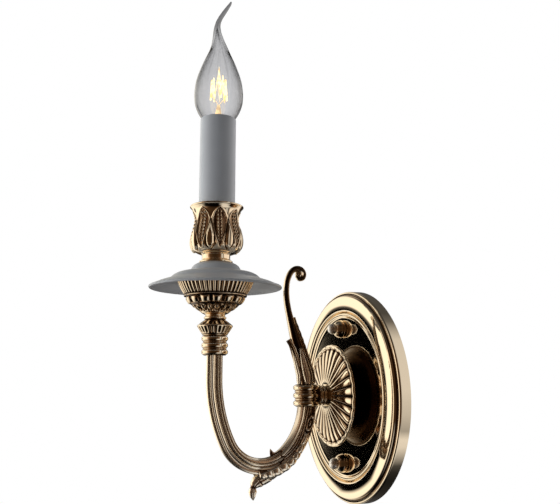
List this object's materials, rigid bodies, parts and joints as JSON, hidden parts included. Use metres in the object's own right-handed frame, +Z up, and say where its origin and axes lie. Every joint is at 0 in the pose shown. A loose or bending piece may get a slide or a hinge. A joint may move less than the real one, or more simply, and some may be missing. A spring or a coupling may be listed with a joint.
{
  "type": "wall sconce",
  "caption": "Electric candle wall sconce: round brass backplate, scrolled acanthus arm, drip pan, tulip cup, white candle sleeve and flame-tip bulb.",
  "frame": {"origin": "middle of the wall strap's two screw slots, on the wall plane", "axes": "+Z up, -Y out of the wall into the room, +X to the right when facing the wall"},
  "size_m": [0.148, 0.1514, 0.3584],
  "materials": {
    "antique_brass": "polished, darkened in the recesses",
    "plain_brass": "bright, machined",
    "pan_white": "satin grey-white enamel",
    "sleeve_white": "satin grey-white",
    "zinc_steel": "zinc-plated",
    "lamp_cap_metal": "thin rolled sheet",
    "cream_plastic": "moulded",
    "clear_glass": "clear, slightly smoky",
    "black_insulator": "vitreous",
    "glowing_filament": "lit tungsten wire",
    "brown_sheath": "wire insulation",
    "blue_sheath": "wire insulation",
    "green_sheath": "wire insulation"
  },
  "bodies": {
    "root": {"wall_strap": "zinc_steel", "stud_pair": "zinc_steel", "stud_locknuts": "zinc_steel", "backplate": "antique_brass", "rosette": "antique_brass", "nipple_tube": "plain_brass", "nipple_washer": "zinc_steel", "nipple_nut": "zinc_steel", "wall_stub": "antique_brass", "arm_collar": "antique_brass", "arm_tube": "antique_brass", "arm_leaf": "antique_brass", "scroll": "antique_brass", "ring_ferrule": "antique_brass", "knop": "antique_brass", "fluted_cup": "antique_brass", "drip_pan": "pan_white", "candle_cup": "antique_brass", "column_rod": "plain_brass", "column_washer": "zinc_steel", "column_nut": "zinc_steel", "lampholder_base": "zinc_steel", "lampholder_bracket": "zinc_steel", "lampholder_body": "cream_plastic", "lampholder_shell": "plain_brass", "lampholder_contact": "plain_brass", "lampholder_screws": "plain_brass", "terminal_block": "cream_plastic", "terminal_screws": "zinc_steel", "earth_screw": "plain_brass", "live_wire": "brown_sheath", "neutral_wire": "blue_sheath", "earth_wire": "green_sheath"},
    "bulb_tip": {"bulb_contact": "lamp_cap_metal"},
    "bulb": {"bulb_glass": "clear_glass", "bulb_cap": "lamp_cap_metal", "bulb_insulator": "black_insulator", "bulb_stem": "clear_glass", "bulb_lead_wires": "lamp_cap_metal", "bulb_filament": "glowing_filament"},
    "sleeve": {"candle_sleeve": "sleeve_white"},
    "upper_nut_washer": {"upper_washer": "antique_brass"},
    "upper_nut": {"upper_ball_nut": "antique_brass"},
    "lower_nut_washer": {"lower_washer": "antique_brass"},
    "lower_nut": {"lower_ball_nut": "antique_brass"}
  },
  "joints": [
    {"name": "bulb_rise", "type": "slide", "parent": "root", "child": "bulb_tip", "axis": [0, 0, 1], "range_m": [0, 0.0113]},
    {"name": "bulb_unscrew", "type": "hinge", "parent": "bulb_tip", "child": "bulb", "pos_m": [0, -0.106, 0.17], "axis": [0, 0, 1], "range_deg": [0, 1440]},
    {"name": "sleeve_turn", "type": "hinge", "parent": "root", "child": "sleeve", "pos_m": [0, -0.106, 0.1], "axis": [0, 0, 1], "continuous": true},
    {"name": "upper_washer_follow", "type": "slide", "parent": "root", "child": "upper_nut_washer", "axis": [0, -1, 0], "range_m": [0, 0.00421]},
    {"name": "upper_nut_turn", "type": "hinge", "parent": "upper_nut_washer", "child": "upper_nut", "pos_m": [0, -0.0103, 0.047], "axis": [0, -1, 0], "range_deg": [0, 2160]},
    {"name": "lower_washer_follow", "type": "slide", "parent": "root", "child": "lower_nut_washer", "axis": [0, -1, 0], "range_m": [0, 0.00421]},
    {"name": "lower_nut_turn", "type": "hinge", "parent": "lower_nut_washer", "child": "lower_nut", "pos_m": [0, -0.0103, -0.047], "axis": [0, -1, 0], "range_deg": [0, 2160]}
  ],
  "couplings": [
    {"joint": "bulb_rise", "follows": "bulb_unscrew", "m_per_rad": 0.00044913},
    {"joint": "upper_washer_follow", "follows": "upper_nut_turn", "m_per_rad": 0.00011141},
    {"joint": "lower_washer_follow", "follows": "lower_nut_turn", "m_per_rad": 0.00011141}
  ]
}
